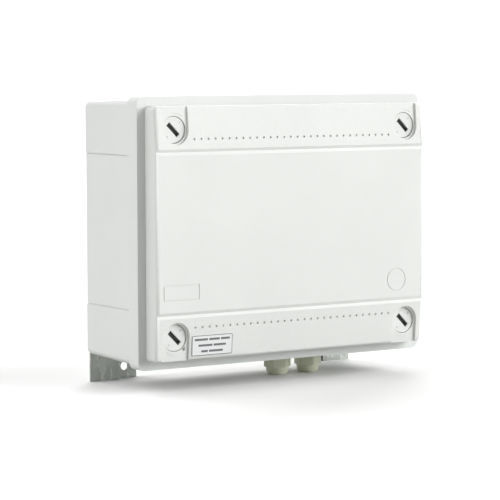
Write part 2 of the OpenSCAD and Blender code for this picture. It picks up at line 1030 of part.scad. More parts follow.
module gland_dome_right() {
    gland_dome(1, 22);
}

// ---- Lid ----

// Corner of the lid: upright round edge along Y with a rounded front edge
module lid_corner(sx, sz) {
    translate([sx * (lid_w / 2 - corner_r), face_y + band_drop, mid_z + sz * (lid_h / 2 - corner_r)])
        rotate([-90, 0, 0])
            rotate_extrude()
                polygon(concat(
                    [[0, 0]],
                    [for (a = [90:-15:0])
                        [corner_r - edge_r + edge_r * cos(a), edge_r * (1 - sin(a))]],
                    [[corner_r, lid_depth - lid_gap - band_drop],
                     [0, lid_depth - lid_gap - band_drop]]
                ));
}

// Solid outer shape: flat centre band, top and bottom bands that slope back
module lid_outside() {
    hull() {
        for (sx = [-1, 1], sz = [-1, 1])
            lid_corner(sx, sz, $fn = 32);
        for (sx = [-1, 1])
            translate([sx * (lid_w / 2 - edge_r), face_y + edge_r, mid_z - centre_band_h / 2])
                cylinder(h = centre_band_h, r = edge_r, $fn = 32);
    }
}

// V-shaped line across the lid at the edge of the centre band
module band_groove(sz) {
    along_x(0, lid_w + 2)
        translate([face_y, sz * centre_band_h / 2])
            polygon([
                [-1, -4.2 * sz], [0, -2.3 * sz], [groove_drop, 0],
                [0.15, 2.1 * sz], [-1, 3.6 * sz]
            ]);
}

// U-shaped pocket around one screw, open to the lid's nearest edge, and the screw's seat
module screw_pocket(sx, sz) {
    x = sx * screw_span_x / 2;
    z = mid_z + sz * screw_span_z / 2;
    reach = lid_h / 2 - screw_span_z / 2 + 2;
    translate([x, face_y + screw_drop, z])
        rotate([-sz * band_angle, 0, 0]) {
            bar_y(0, 0, pocket_r, -3, pocket_depth);
            translate([-pocket_r, -3, sz > 0 ? 0 : -reach])
                cube([2 * pocket_r, pocket_depth + 3, reach]);
        }
    bar_y(x, z, head_r + head_gap, face_y, face_y + head_seat);
    bar_y(x, z, shaft_r + run_fit, face_y, face_y + boss_end + 1);
    bar_y(x, z, shaft_r + 2.2, face_y, face_y + head_seat + 1.7);
}

module lid_dimples() {
    for (i = [0:dimples - 1], sz = [-1, 1])
        bar_y((i - (dimples - 1) / 2) * dimple_pitch, mid_z + sz * dimple_row_z, dimple_r,
              face_y - 1, face_y + dimple_depth, $fn = 16);
}

// Plain engraved ring and frame low on the centre band
module lid_marks() {
    x0 = frame_x - frame_w / 2;
    x1 = frame_x + frame_w / 2;
    z0 = frame_z - frame_h / 2;
    z1 = frame_z + frame_h / 2;
    difference() {
        bar_y(ring_x, mid_z + ring_z, ring_r, face_y - 1, face_y + mark_depth);
        bar_y(ring_x, mid_z + ring_z, ring_r - mark_line, face_y - 2, face_y + 1);
    }
    difference() {
        block(x0, x1, face_y - 1, face_y + mark_depth, z0, z1);
        block(x0 + mark_line, x1 - mark_line, face_y - 2, face_y + 1, z0 + mark_line,
              z1 - mark_line);
    }
}

// Small three-cornered notch in the floor of the bottom left pocket
module lid_notch() {
    notch = 3.3;
    translate([-screw_span_x / 2 + head_r - 1, face_y + screw_drop + pocket_depth - 1,
               mid_z - screw_span_z / 2 - head_r])
        rotate([-90, 0, 0])
            linear_extrude(3.2)
                polygon([[-notch, 0], [0, 0], [0, -notch]]);
}

module lid_inside() {
    inner_w = lid_w - 2 * wall;
    inner_h = lid_h - 2 * wall;
    difference() {
        union() {
            slab(inner_w, inner_h, 4, face_y + band_drop + wall, rim_y + 1);
            slab(inner_w, centre_band_h - 8, 1, face_y + wall, rim_y);
        }
        for (p = screw_places) {
            x = p[0] * screw_span_x / 2;
            z = mid_z + p[1] * screw_span_z / 2;
            bar_y(x, z, boss_r, face_y, face_y + boss_end);
            bar_y(x, z, pocket_r + 1.5, face_y, face_y + pocket_back);
            translate([x - pocket_r - 1.5, face_y, p[1] > 0 ? z : z - 20])
                cube([2 * pocket_r + 3, pocket_back, 20]);
        }
    }
}

module lid() {
    color([0.93, 0.94, 0.93])
        difference() {
            lid_outside();
            lid_inside();
            for (sz = [-1, 1])
                band_groove(sz);
            for (p = screw_places)
                screw_pocket(p[0], p[1]);
            lid_dimples();
            lid_marks();
            lid_notch();
        }
}

// Blank sticker on the sloping bottom band
module label() {
    label_y = face_y + (-label_z - centre_band_h / 2) * tan(band_angle);
    color([0.97, 0.97, 0.96])
        translate([label_x, label_y, mid_z + label_z])
            rotate([90 + band_angle, 0, 0])
                linear_extrude(label_t)
                    round_rect(label_w, label_h, 1.2);
}

module screw_seals() {
    color([0.10, 0.10, 0.10])
        for (p = screw_places)
            translate([p[0] * screw_span_x / 2, face_y + head_seat + 0.85,
                       mid_z + p[1] * screw_span_z / 2])
                rotate([90, 0, 0])
                    rotate_extrude()
                        translate([shaft_r + 1.25, 0])
                            circle(0.8, $fn = 24);
}

module lid_screw(sx, sz) {
    shaft_l = catch_y + catch_t + lug_gap + lug_h - face_y - head_bottom;
    color([0.90, 0.91, 0.90])
        translate([sx * screw_span_x / 2, face_y, mid_z + sz * screw_span_z / 2])
            difference() {
                union() {
                    bar_y(0, 0, head_r, head_top, head_bottom);
                    bar_y(0, 0, shaft_r, head_bottom - 0.5, head_bottom + shaft_l);
                    rotate([0, -slot_angle, 0])
                        translate([-lug_l / 2, head_bottom + shaft_l - lug_h, -lug_w / 2])
                            cube([lug_l, lug_h, lug_w]);
                }
                rotate([0, -slot_angle, 0])
                    translate([-slot_l / 2, head_top - 1, -slot_w / 2])
                        cube([slot_l, slot_depth + 1, slot_w]);
            }
}

module lid_screw_top_left() {
    lid_screw(-1, 1);
}

module lid_screw_top_right() {
    lid_screw(1, 1);
}

module lid_screw_bottom_left() {
    lid_screw(-1, -1);
}

module lid_screw_bottom_right() {
    lid_screw(1, -1);
}

base_box();
lid_gasket();
bracket_left();
bracket_right();
bracket_screws();
bracket_washers();
bracket_nuts();
din_rail();
rail_screws();
end_stops();
fuse_base_1();
fuse_base_2();
fuse_hinge_pins();
fuse_clips();
fuse_carrier_1();
fuse_carrier_2();
fuse_tubes_1();
fuse_tubes_2();
fuse_caps_1();
fuse_caps_2();
comb_bar_plus();
comb_bar_minus();
breaker_body();
breaker_pin();
breaker_lever();
surge_base();
surge_cartridge_1();
surge_cartridge_2();
surge_cartridge_3();
surge_blades_1();
surge_blades_2();
surge_blades_3();
earth_terminal();
terminal_screws();
plus_wire();
minus_wire();
surge_plus_wire();
surge_minus_wire();
earth_wire();
gland_body_left();
gland_body_right();
gland_seals();
gland_washers();
gland_locknuts();
gland_dome_left();
gland_dome_right();
lid();
label();
screw_seals();
lid_screw_top_left();
lid_screw_top_right();
lid_screw_bottom_left();
lid_screw_bottom_right();
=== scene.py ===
"""Looks of the combiner box: moulded plastic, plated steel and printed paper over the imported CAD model."""

import json
import math

import bmesh
import bpy
from mathutils import Matrix, Vector


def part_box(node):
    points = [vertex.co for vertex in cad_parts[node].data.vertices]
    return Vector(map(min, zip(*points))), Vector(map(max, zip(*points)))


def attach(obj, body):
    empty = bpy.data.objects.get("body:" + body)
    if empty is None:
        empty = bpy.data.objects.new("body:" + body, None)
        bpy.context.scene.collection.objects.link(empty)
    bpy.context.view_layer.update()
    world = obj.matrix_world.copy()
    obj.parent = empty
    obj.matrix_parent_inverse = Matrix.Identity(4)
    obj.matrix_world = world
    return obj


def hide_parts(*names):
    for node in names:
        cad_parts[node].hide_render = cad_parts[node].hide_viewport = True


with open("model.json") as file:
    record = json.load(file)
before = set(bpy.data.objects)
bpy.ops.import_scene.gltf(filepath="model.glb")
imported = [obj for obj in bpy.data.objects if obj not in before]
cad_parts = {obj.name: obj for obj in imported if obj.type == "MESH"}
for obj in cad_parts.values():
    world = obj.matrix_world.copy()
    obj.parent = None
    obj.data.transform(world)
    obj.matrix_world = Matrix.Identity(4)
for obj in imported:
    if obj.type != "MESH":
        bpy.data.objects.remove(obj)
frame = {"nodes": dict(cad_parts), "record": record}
NODES = frame["nodes"]
MEMBERS = frame["record"]["behaviour"]["bodies"]
BODY_OF = {node: body for body, members in MEMBERS.items() for node in members}
SLOT_OF = {part["node"]: part["material_slot"] for part in frame["record"]["subparts"]}
MM = 0.001
WELD_GAP = 1e-6
FLAT_ANGLE = math.radians(0.8)
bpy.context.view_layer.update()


# ---- Camera, floor and light ----

def make_camera():
    """Long lens at the left of the box, a little above its middle. Its angles are in degrees."""
    azimuth, pitch, roll = -33.5, 85.48, -0.2
    camera = bpy.data.objects.new("camera", bpy.data.cameras.new("camera"))
    bpy.context.scene.collection.objects.link(camera)
    camera.data.sensor_width = 36
    camera.data.lens = 165.6
    camera.location = (-0.9672, -1.4536, 0.2348)
    turns = [Matrix.Rotation(math.radians(angle), 4, axis)
             for angle, axis in ((azimuth, "Z"), (pitch, "X"), (roll, "Z"))]
    camera.rotation_euler = (turns[0] @ turns[1] @ turns[2]).to_euler()
    bpy.context.scene.camera = camera


def make_floor():
    """One large pale sheet. It throws less light back onto the object than it shows to the camera."""
    half = 30.0
    thrown_back = (0.52, 0.53, 0.52)
    mesh = bpy.data.meshes.new("floor")
    corners = [(-half, -half, 0), (half, -half, 0), (half, half, 0), (-half, half, 0)]
    mesh.from_pydata(corners, [], [(0, 1, 2, 3)])
    floor = bpy.data.objects.new("floor", mesh)
    bpy.context.scene.collection.objects.link(floor)
    material, shader = new_material("floor_paper", roughness=0.9, specular_ior_level=0.0)
    tree = Tree(material)
    tone = tree.ramp(tree.noise(3.0, 2), (0.91, 0.91, 0.905), (0.93, 0.93, 0.925))
    path = tree.nodes.new("ShaderNodeLightPath")
    tone = tree.tint(path.outputs["Is Diffuse Ray"], tone, thrown_back)
    tree.link(tone, shader.inputs["Base Color"])
    mesh.materials.append(material)


def make_sun(name, strength, spread, azimuth, elevation):
    """Wide soft sun. In degrees, azimuth 0 shines from the front and 90 from the right."""
    light = bpy.data.lights.new(name, "SUN")
    light.energy = strength
    light.angle = math.radians(spread)
    lamp = bpy.data.objects.new(name, light)
    bpy.context.scene.collection.objects.link(lamp)
    a, e = math.radians(azimuth), math.radians(elevation)
    towards = Vector((math.sin(a) * math.cos(e), -math.cos(a) * math.cos(e), math.sin(e)))
    lamp.rotation_euler = towards.to_track_quat("Z", "Y").to_euler()


def make_sky():
    """White to the eye and dark as a source of light, so that the lamps alone shade the object."""
    world = bpy.data.worlds.new("studio")
    bpy.context.scene.world = world
    world.use_nodes = True
    nodes, links = world.node_tree.nodes, world.node_tree.links
    seen = nodes["Background"]
    seen.inputs["Color"].default_value = (1, 1, 1, 1)
    seen.inputs["Strength"].default_value = 1.1
    fill = nodes.new("ShaderNodeBackground")
    fill.inputs["Color"].default_value = (0.97, 1.0, 0.98, 1)
    fill.inputs["Strength"].default_value = 0.02
    path = nodes.new("ShaderNodeLightPath")
    mix = nodes.new("ShaderNodeMixShader")
    links.new(path.outputs["Is Camera Ray"], mix.inputs["Fac"])
    links.new(fill.outputs[0], mix.inputs[1])
    links.new(seen.outputs[0], mix.inputs[2])
    links.new(mix.outputs[0], nodes["World Output"].inputs["Surface"])


def make_studio():
    make_camera()
    make_floor()
    make_sky()
    make_sun("key_low", 1.08, 40, 50, 5)
    make_sun("key", 1.87, 45, 50, 20)
    make_sun("key_high", 1.14, 50, 42, 37)
    make_sun("left", 0.52, 40, -96, 8)
    make_sun("left_front", 0.62, 40, -72, 8)
    make_sun("left_high", 0.92, 40, -100, 35)
    make_sun("rear_left", 1.20, 40, -150, 42)
    make_sun("rear", 0.39, 45, 180, 40)
    make_sun("rear_right", 2.10, 35, 140, 30)
    bpy.context.scene.view_settings.view_transform = "Standard"


# ---- Node trees ----

def new_material(name, **constants):
    """A material and its shader. What is the same all over is set on the shader's own sockets."""
    material = bpy.data.materials.new(name)
    material.use_nodes = True
    shader = material.node_tree.nodes["Principled BSDF"]
    for key, value in constants.items():
        shader.inputs[key.replace("_", " ").title().replace("Ior", "IOR")].default_value = value
    return material, shader


class Tree:
    """Short names for the nodes that the materials here are made of. Patterns lie in the part's own space."""

    def __init__(self, material):
        self.nodes = material.node_tree.nodes
        self.links = material.node_tree.links
        self.place = self.nodes.new("ShaderNodeTexCoord").outputs["Object"]

    def link(self, output, socket):
        self.links.new(output, socket)

    def stretched(self, scale):
        """The part's space scaled by a vector, for streaks."""
        node = self.nodes.new("ShaderNodeMapping")
        node.inputs["Scale"].default_value = scale
        self.link(self.place, node.inputs["Vector"])
        return node.outputs["Vector"]

    def noise(self, scale, detail=2, place=None, distortion=0.0):
        node = self.nodes.new("ShaderNodeTexNoise")
        node.inputs["Scale"].default_value = scale
        node.inputs["Detail"].default_value = detail
        node.inputs["Distortion"].default_value = distortion
        self.link(place or self.place, node.inputs["Vector"])
        return node.outputs["Fac"]

    def cells(self, scale):
        """Distance to the nearest of many scattered points."""
        node = self.nodes.new("ShaderNodeTexVoronoi")
        node.inputs["Scale"].default_value = scale
        self.link(self.place, node.inputs["Vector"])
        return node.outputs["Distance"]

    def math(self, operation, a, b):
        node = self.nodes.new("ShaderNodeMath")
        node.operation = operation
        for socket, value in zip(node.inputs, (a, b)):
            if isinstance(value, (int, float)):
                socket.default_value = value
            else:
                self.link(value, socket)
        return node.outputs[0]

    def sum(self, *terms):
        total = terms[0]
        for term in terms[1:]:
            total = self.math("ADD", total, term)
        return total

    def ramp(self, fac, low, high, start=0.35, end=0.65):
        """From one colour or number to another as fac goes from start to end."""
        node = self.nodes.new("ShaderNodeValToRGB")
        for stop, position, value in zip(node.color_ramp.elements, (start, end), (low, high)):
            stop.position = position
            stop.color = (value,) * 3 + (1,) if isinstance(value, (int, float)) else (*value, 1)
        self.link(fac, node.inputs["Fac"])
        return node.outputs["Color"]

    def tint(self, fac, a, b, mode="MULTIPLY"):
        """Colour a changed by colour b, as far as fac says."""
        node = self.nodes.new("ShaderNodeMix")
        node.data_type = "RGBA"
        node.blend_type = mode
        for socket, value in zip((node.inputs[0], node.inputs[6], node.inputs[7]), (fac, a, b)):
            if isinstance(value, (int, float)):
                socket.default_value = value
            elif isinstance(value, tuple):
                socket.default_value = (*value, 1)
            else:
                self.link(value, socket)
        return node.outputs[2]

    def bump(self, height, depth, under=None):
        """Relief of the given depth in metres."""
        node = self.nodes.new("ShaderNodeBump")
        node.inputs["Distance"].default_value = depth
        self.link(height, node.inputs["Height"])
        if under:
            self.link(under, node.inputs["Normal"])
        return node.outputs["Normal"]


def scaled(colour, factor):
    return tuple(channel * factor for channel in colour)


# ---- Materials ----

def moulded_plastic(name, colour, roughness=0.5, grain=0.012, contrast=1.0, specular=0.4):
    """Spark-eroded moulding: slow drift of tone, fine speckle, tiny pits and faint scuffs."""
    material, shader = new_material(name, specular_ior_level=specular)
    tree = Tree(material)
    drift = tree.noise(14, 3)
    speckle = tree.noise(1100, 2)
    base = tree.ramp(drift, scaled(colour, 1 - 0.02 * contrast), scaled(colour, 1 + 0.012 * contrast))
    flecks = tree.ramp(speckle, 1 - 0.05 * contrast, 1.0, 0.3, 0.7)
    tree.link(tree.tint(1.0, base, flecks), shader.inputs["Base Color"])
    scuffs = tree.noise(60, 5, tree.stretched((1, 1, 0.25)), 0.6)
    sheen = tree.math("MULTIPLY", tree.sum(scuffs, speckle), 0.16)
    tree.link(tree.math("ADD", sheen, roughness - 0.16), shader.inputs["Roughness"])
    pits = tree.bump(tree.noise(2400, 3), grain * MM)
    tree.link(tree.bump(tree.noise(32, 2), 0.05 * MM, pits), shader.inputs["Normal"])
    return material


def plated_sheet(name, colour, streaks, roughness=0.42, metallic=1.0, contrast=1.0):
    """Zinc-plated rolled steel: crystal patches, rolling streaks along one direction and dull spots."""
    material, shader = new_material(name, metallic=metallic)
    tree = Tree(material)
    rolled = tree.noise(260, 4, tree.stretched(streaks))
    patches = tree.cells(320)
    spots = tree.noise(70, 4)
    base = tree.ramp(rolled, scaled(colour, 1 - 0.16 * contrast), scaled(colour, 1 + 0.08 * contrast))
    base = tree.tint(0.25, base, tree.ramp(patches, 0.8, 1.0, 0.0, 0.8))
    base = tree.tint(0.7 * contrast, base, tree.ramp(spots, 0.82, 1.0, 0.38, 0.55))
    tree.link(base, shader.inputs["Base Color"])
    dull = tree.math("MULTIPLY", tree.sum(rolled, spots), 0.22)
    tree.link(tree.math("ADD", dull, roughness - 0.22), shader.inputs["Roughness"])
    tree.link(tree.bump(rolled, 0.02 * MM), shader.inputs["Normal"])
    return material


def turned_metal(name, colour, roughness=0.28, tarnish=0.75):
    """Small plated or bare metal parts: tarnish in clouds and fine tool marks."""
    material, shader = new_material(name, metallic=1.0)
    tree = Tree(material)
    clouds = tree.noise(240, 5)
    marks = tree.noise(1800, 2, tree.stretched((1, 0.1, 1)))
    base = tree.ramp(clouds, scaled(colour, tarnish), colour, 0.35, 0.6)
    tree.link(base, shader.inputs["Base Color"])
    dull = tree.math("MULTIPLY", tree.sum(clouds, marks), 0.2)
    tree.link(tree.math("ADD", dull, roughness - 0.16), shader.inputs["Roughness"])
    tree.link(tree.bump(marks, 0.01 * MM), shader.inputs["Normal"])
    return material


def soft_rubber(name):
    """Black rubber with a matt bloom and fine grit."""
    material, shader = new_material(name, specular_ior_level=0.3)
    tree = Tree(material)
    bloom = tree.noise(90, 4)
    grit = tree.noise(2600, 3)
    tree.link(tree.ramp(bloom, 0.018, 0.05), shader.inputs["Base Color"])
    tree.link(tree.ramp(bloom, 0.62, 0.85), shader.inputs["Roughness"])
    tree.link(tree.bump(grit, 0.03 * MM), shader.inputs["Normal"])
    return material


def unglazed_ceramic(name, colour):
    """Fired body of a fuse: chalky, with small dark grains."""
    material, shader = new_material(name, specular_ior_level=0.3)
    tree = Tree(material)
    grains = tree.noise(1500, 4)
    clouds = tree.noise(120, 2)
    base = tree.ramp(clouds, scaled(colour, 0.94), colour)
    base = tree.tint(1.0, base, tree.ramp(grains, 0.72, 1.0, 0.25, 0.4))
    tree.link(base, shader.inputs["Base Color"])
    tree.link(tree.ramp(grains, 0.7, 0.9), shader.inputs["Roughness"])
    tree.link(tree.bump(grains, 0.03 * MM), shader.inputs["Normal"])
    return material


def wire_insulation(name, colour):
    """Extruded sleeve: semi-gloss, with slow waves and handling marks."""
    material, shader = new_material(name, specular_ior_level=0.5)
    tree = Tree(material)
    handled = tree.noise(180, 4)
    waves = tree.noise(420, 1)
    tree.link(tree.ramp(handled, scaled(colour, 0.82), scaled(colour, 1.1)), shader.inputs["Base Color"])
    tree.link(tree.ramp(handled, 0.28, 0.46), shader.inputs["Roughness"])
    tree.link(tree.bump(waves, 0.06 * MM), shader.inputs["Normal"])
    return material


def printed_paper(name, colour, roughness=0.4):
    """Laminated label stock or ink on it: short fibres under a thin film."""
    material, shader = new_material(name, coat_weight=0.15, coat_roughness=0.35)
    tree = Tree(material)
    fibres = tree.noise(1400, 5, tree.stretched((0.3, 1, 1)), 0.8)
    cockle = tree.noise(55, 1)
    tree.link(tree.ramp(fibres, scaled(colour, 0.95), colour), shader.inputs["Base Color"])
    tree.link(tree.ramp(fibres, roughness, roughness + 0.15), shader.inputs["Roughness"])
    tree.link(tree.bump(cockle, 0.08 * MM), shader.inputs["Normal"])
    return material


def make_materials():
    """One material for each of the record's slots."""
    return {
        "box_plastic": moulded_plastic("box_plastic", (0.735, 0.75, 0.735), 0.48),
        "lid_plastic": moulded_plastic("lid_plastic", (0.76, 0.77, 0.75), 0.46),
        "screw_plastic": moulded_plastic("screw_plastic", (0.76, 0.77, 0.75), 0.42, 0.006),
        "gland_plastic": moulded_plastic("gland_plastic", (0.82, 0.84, 0.65), 0.40, 0.008, 1.6),
        "device_plastic": moulded_plastic("device_plastic", (0.56, 0.575, 0.57), 0.5, 0.01, 1.4),
        "dark_plastic": moulded_plastic("dark_plastic", (0.035, 0.038, 0.042), 0.42, 0.01, 4.0),
        "surge_plastic": moulded_plastic("surge_plastic", (0.46, 0.055, 0.03), 0.42, 0.008, 2.5),
        "earth_plastic": moulded_plastic("earth_plastic", (0.20, 0.36, 0.035), 0.45, 0.008, 2.5),
        "bracket_steel": plated_sheet("bracket_steel", (0.41, 0.43, 0.40), (1, 1, 0.2), 0.26, 0.7, 0.5),
        "rail_steel": plated_sheet("rail_steel", (0.66, 0.66, 0.62), (0.06, 1, 1), 0.38),
        "screw_steel": turned_metal("screw_steel", (0.66, 0.66, 0.63)),
        "nickel": turned_metal("nickel", (0.72, 0.70, 0.65), 0.22, 0.85),
        "copper": turned_metal("copper", (0.78, 0.42, 0.24), 0.28, 0.6),
        "rubber": soft_rubber("rubber"),
        "ceramic": unglazed_ceramic("ceramic", (0.84, 0.81, 0.72)),
        "red_wire": wire_insulation("red_wire", (0.50, 0.025, 0.015)),
        "black_wire": wire_insulation("black_wire", (0.022, 0.022, 0.024)),
        "earth_wire": wire_insulation("earth_wire", (0.20, 0.36, 0.03)),
        "sticker": printed_paper("sticker", (0.79, 0.80, 0.80)),
    }


# ---- Turning CAD nodes into finished pieces ----

def add_piece(name, mesh, body, material, replaced=None):
    """A mesh in the frame's own space becomes a piece that rides on a body."""
    piece = bpy.data.objects.new(name, mesh)
    bpy.context.scene.collection.objects.link(piece)
    mesh.materials.clear()
    mesh.materials.append(material)
    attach(piece, body)
    if replaced:
        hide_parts(replaced)
    return piece


def even_normals(piece):
    """Large faces stay flat and their rounded edges carry the turn of the light."""
    for polygon in piece.data.polygons:
        polygon.use_smooth = True
    normals = piece.modifiers.new("even_normals", "WEIGHTED_NORMAL")
    normals.keep_sharp = True
    normals.weight = 60


def any_edge(edge, middle):
    return True


def rounded_node(node, rules, sharper_than=25):
    """A copy of a CAD node to stand for it, with its hard edges rounded.

    Each rule is a test for an edge and its middle, and the width that the edges passing it get.
    """
    smooth_below = math.radians(50)
    mesh = NODES[node].data.copy()
    if "custom_normal" in mesh.attributes:
        mesh.attributes.remove(mesh.attributes["custom_normal"])
    shape = bmesh.new()
    shape.from_mesh(mesh)
    bmesh.ops.remove_doubles(shape, verts=shape.verts, dist=WELD_GAP)
    bmesh.ops.dissolve_limit(shape, angle_limit=FLAT_ANGLE, verts=shape.verts, edges=shape.edges)
    limit = math.radians(sharper_than)
    for rule, width in rules:
        hard = [e for e in shape.edges if e.is_manifold and e.calc_face_angle(0) > limit]
        chosen = [e for e in hard if rule(e, sum((v.co for v in e.verts), Vector()) / 2)]
        bmesh.ops.bevel(shape, geom=chosen, offset=width, segments=3, profile=0.5,
                        affect="EDGES", clamp_overlap=True)
    for edge in shape.edges:
        edge.smooth = not edge.is_manifold or edge.calc_face_angle(0) < smooth_below
    shape.to_mesh(mesh)
    shape.free()
    slot = SLOT_OF[node]
    even_normals(add_piece(node + "_finish", mesh, BODY_OF[node], MATERIALS[slot], node))


def finish_node(node, width):
    """A carried-over CAD node gets its material and softened edges; its mesh stays as packed."""
    part = NODES[node]
    part.data.materials.clear()
    part.data.materials.append(MATERIALS[SLOT_OF[node]])
    weld = part.modifiers.new("weld", "WELD")
    weld.merge_threshold = WELD_GAP
    flat = part.modifiers.new("flat", "DECIMATE")
    flat.decimate_type = "DISSOLVE"
    flat.angle_limit = FLAT_ANGLE
    edges = part.modifiers.new("edges", "BEVEL")
    edges.limit_method = "ANGLE"
    edges.angle_limit = math.radians(35)
    edges.width = width
    edges.segments = 2
    even_normals(part)


# ---- Shapes built here ----

def rounded_outline(width, height, radius, steps=6):
    """Points of a rectangle with round corners, anticlockwise, centred."""
    points = []
    for corner, (sx, sz) in enumerate(((1, 1), (-1, 1), (-1, -1), (1, -1))):
        centre = Vector((sx * (width / 2 - radius), sz * (height / 2 - radius)))
        for step in range(steps + 1):
            angle = math.radians(90 * (corner + step / steps))
            points.append(centre + radius * Vector((math.cos(angle), math.sin(angle))))
    return points


def plate(width, height, radius, thickness):
    """Thin plate that faces the front, its back at y 0, with a softened front edge."""
    shape = bmesh.new()
    outline = rounded_outline(width, height, radius)
    back = [shape.verts.new((p.x, 0, p.y)) for p in outline]
    front = [shape.verts.new((p.x, -thickness, p.y)) for p in outline]
    shape.faces.new(back)
    face = shape.faces.new(front[::-1])
    for i in range(len(outline)):
        j = (i + 1) % len(outline)
        shape.faces.new((back[j], back[i], front[i], front[j]))
    bmesh.ops.bevel(shape, geom=list(face.edges), offset=0.4 * thickness, segments=2, profile=0.5,
                    affect="EDGES", clamp_overlap=True)
    return shape


def line_frame(width, height, radius, line, thickness):
    """Closed line around a rounded rectangle."""
    shape = bmesh.new()
    outer = rounded_outline(width, height, radius)
    inner = rounded_outline(width - 2 * line, height - 2 * line, radius - line)
    rings = [[shape.verts.new((p.x, y, p.y)) for p in points]
             for points, y in ((outer, 0), (outer, -thickness), (inner, -thickness), (inner, 0))]
    return bridge(shape, rings)


def bridge(shape, rings):
    """Joins closed rings of points into a tube that closes on itself."""
    for k, ring in enumerate(rings):
        following = rings[(k + 1) % len(rings)]
        for i in range(len(ring)):
            j = (i + 1) % len(ring)
            shape.faces.new((ring[j], ring[i], following[i], following[j]))
    return shape


def line_arc(radius, line, start, end, thickness, steps=20):
    """Part of a ring that faces the front, from one angle to another in degrees, thinner at its ends."""
    shape = bmesh.new()
    sections = []
    for step in range(steps + 1):
        angle = math.radians(start + (end - start) * step / steps)
        outer = radius + line * math.sin(math.pi * (0.1 + 0.8 * step / steps))
        profile = ((radius, 0), (outer, 0), (outer, -thickness), (radius, -thickness))
        sections.append([shape.verts.new((r * math.cos(angle), y, r * math.sin(angle))) for r, y in profile])
    for a, b in zip(sections, sections[1:]):
        for i in range(4):
            j = (i + 1) % 4
            shape.faces.new((a[i], a[j], b[j], b[i]))
    shape.faces.new(sections[0][::-1])
    shape.faces.new(sections[-1])
    return shape


def tray(length, width, depth, wall, floor_y):
    """Open tray with a floor and four walls, its mouth towards the front."""
    shape = bmesh.new()
    rings = []
    for inset, y in ((0, floor_y), (0, floor_y - depth), (wall, floor_y - depth), (wall, floor_y - wall)):
        half_l, half_w = length / 2 - inset, width / 2 - inset
        corners = ((half_l, half_w), (-half_l, half_w), (-half_l, -half_w), (half_l, -half_w))
        rings.append([shape.verts.new((x, y, z)) for x, z in corners])
    for ring, following in zip(rings, rings[1:]):
        for i in range(4):
            j = (i + 1) % 4
            shape.faces.new((ring[j], ring[i], following[i], following[j]))
    shape.faces.new(rings[0])
    shape.faces.new(rings[-1][::-1])
    return shape


def set_down(name, shape, place, node, slot, material=None):
    """A shape made around the origin goes to its place and rides with a CAD node."""
    bmesh.ops.transform(shape, matrix=place, verts=shape.verts)
    bmesh.ops.recalc_face_normals(shape, faces=shape.faces)
    mesh = bpy.data.meshes.new(name)
    shape.to_mesh(mesh)
    shape.free()
    return add_piece(name, mesh, BODY_OF[node], material or MATERIALS[slot])


def front_of(node):
    """Middle of a node's box, at its front."""
    low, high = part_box(node)
    return Vector(((low[0] + high[0]) / 2, low[1], (low[2] + high[2]) / 2))


def facing_normal(node):
    """Mean direction of the faces of a node that look to the front."""
    front = [p for p in NODES[node].data.polygons if p.normal.y < -0.5]
    return sum((p.normal * p.area for p in front), Vector()).normalized()


def facing_tilt(node):
    normal = facing_normal(node)
    return math.atan2(normal.z, -normal.y)


def facing_place(node):
    """Middle of the front of a flat node, and its tilt."""
    normal = facing_normal(node)
    low, high = (Vector(corner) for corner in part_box(node))
    middle = (low + high) / 2
    reach = max(vertex.co.dot(normal) for vertex in NODES[node].data.vertices)
    middle += normal * (reach - middle.dot(normal))
    return Matrix.Translation(middle) @ Matrix.Rotation(-facing_tilt(node), 4, "X")


# ---- Finishing the nodes ----

def finish_screws():
    """Each lid screw: rounded head, a near-black lining over the floor and lower walls of its slot as painted
    shade of the deep slot, and two small marks beside the slot.
    """
    slot_length, slot_width, slot_depth = 12.4 * MM, 3.6 * MM, 3.0 * MM
    lining, clearance = 0.12 * MM, 0.012 * MM
    mark_width, mark_height, mark_corner, mark_thickness = 0.7 * MM, 1.7 * MM, 0.3 * MM, 0.16 * MM
    mark_radius, mark_sink = 7.2 * MM, 0.02 * MM
    for node in [n for n in NODES if n.startswith("lid_screw_")]:
        rounded_node(node, [(any_edge, 0.3 * MM)])
        head = Matrix.Translation(front_of(node))
        across = head @ Matrix.Rotation(math.radians(45), 4, "Y")
        # Painted shade: this dark tray over the slot's floor and lower walls stands for the shade deep in the
        # slot; the real screw is one piece of pale plastic.
        shape = tray(slot_length - 2 * clearance, slot_width - 2 * clearance, slot_depth / 2,
                     lining, slot_depth - clearance)
        set_down(node + "_core", shape, across, node, "dark_plastic", PAINTED_SLOT_SHADE)
        for side, name in ((1, "_mark_a"), (-1, "_mark_b")):
            shape = plate(mark_width, mark_height, mark_corner, mark_thickness)
            place = across @ Matrix.Translation((0, mark_sink, side * mark_radius))
            set_down(node + name, shape, place, node, "screw_plastic", MARK_PLASTIC)


def finish_label():
    """A thin frame and three rows of plain bars on the sticker. Bar lengths are shares of its width."""
    bar_shares = ((0.32, 0.26, 0.22), (0.34, 0.30), (0.16, 0.34))
    ink, margin, frame_corner, frame_line, bar_corner = 0.03 * MM, 0.15 * MM, 1.1 * MM, 0.48 * MM, 0.3 * MM
    place = facing_place("label")
    low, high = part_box("label")
    width, height = high[0] - low[0], high[2] - low[2]
    gap, bar_height, pitch = 0.03 * width, 0.104 * height, 0.285 * height
    shape = line_frame(width - 2 * margin, height - 2 * margin, frame_corner, frame_line, ink)
    set_down("label_frame", shape, place, "label", "sticker", INK)
    for row, shares in enumerate(bar_shares):
        x = -(sum(shares) * width + gap * (len(shares) - 1)) / 2
        for column, share in enumerate(shares):
            length = share * width
            shape = plate(length, bar_height, bar_corner, ink)
            spot = place @ Matrix.Translation((x + length / 2, 0, (1 - row) * pitch))
            set_down("label_bar_%d_%d" % (row, column), shape, spot, "label", "sticker", INK)
            x += length + gap


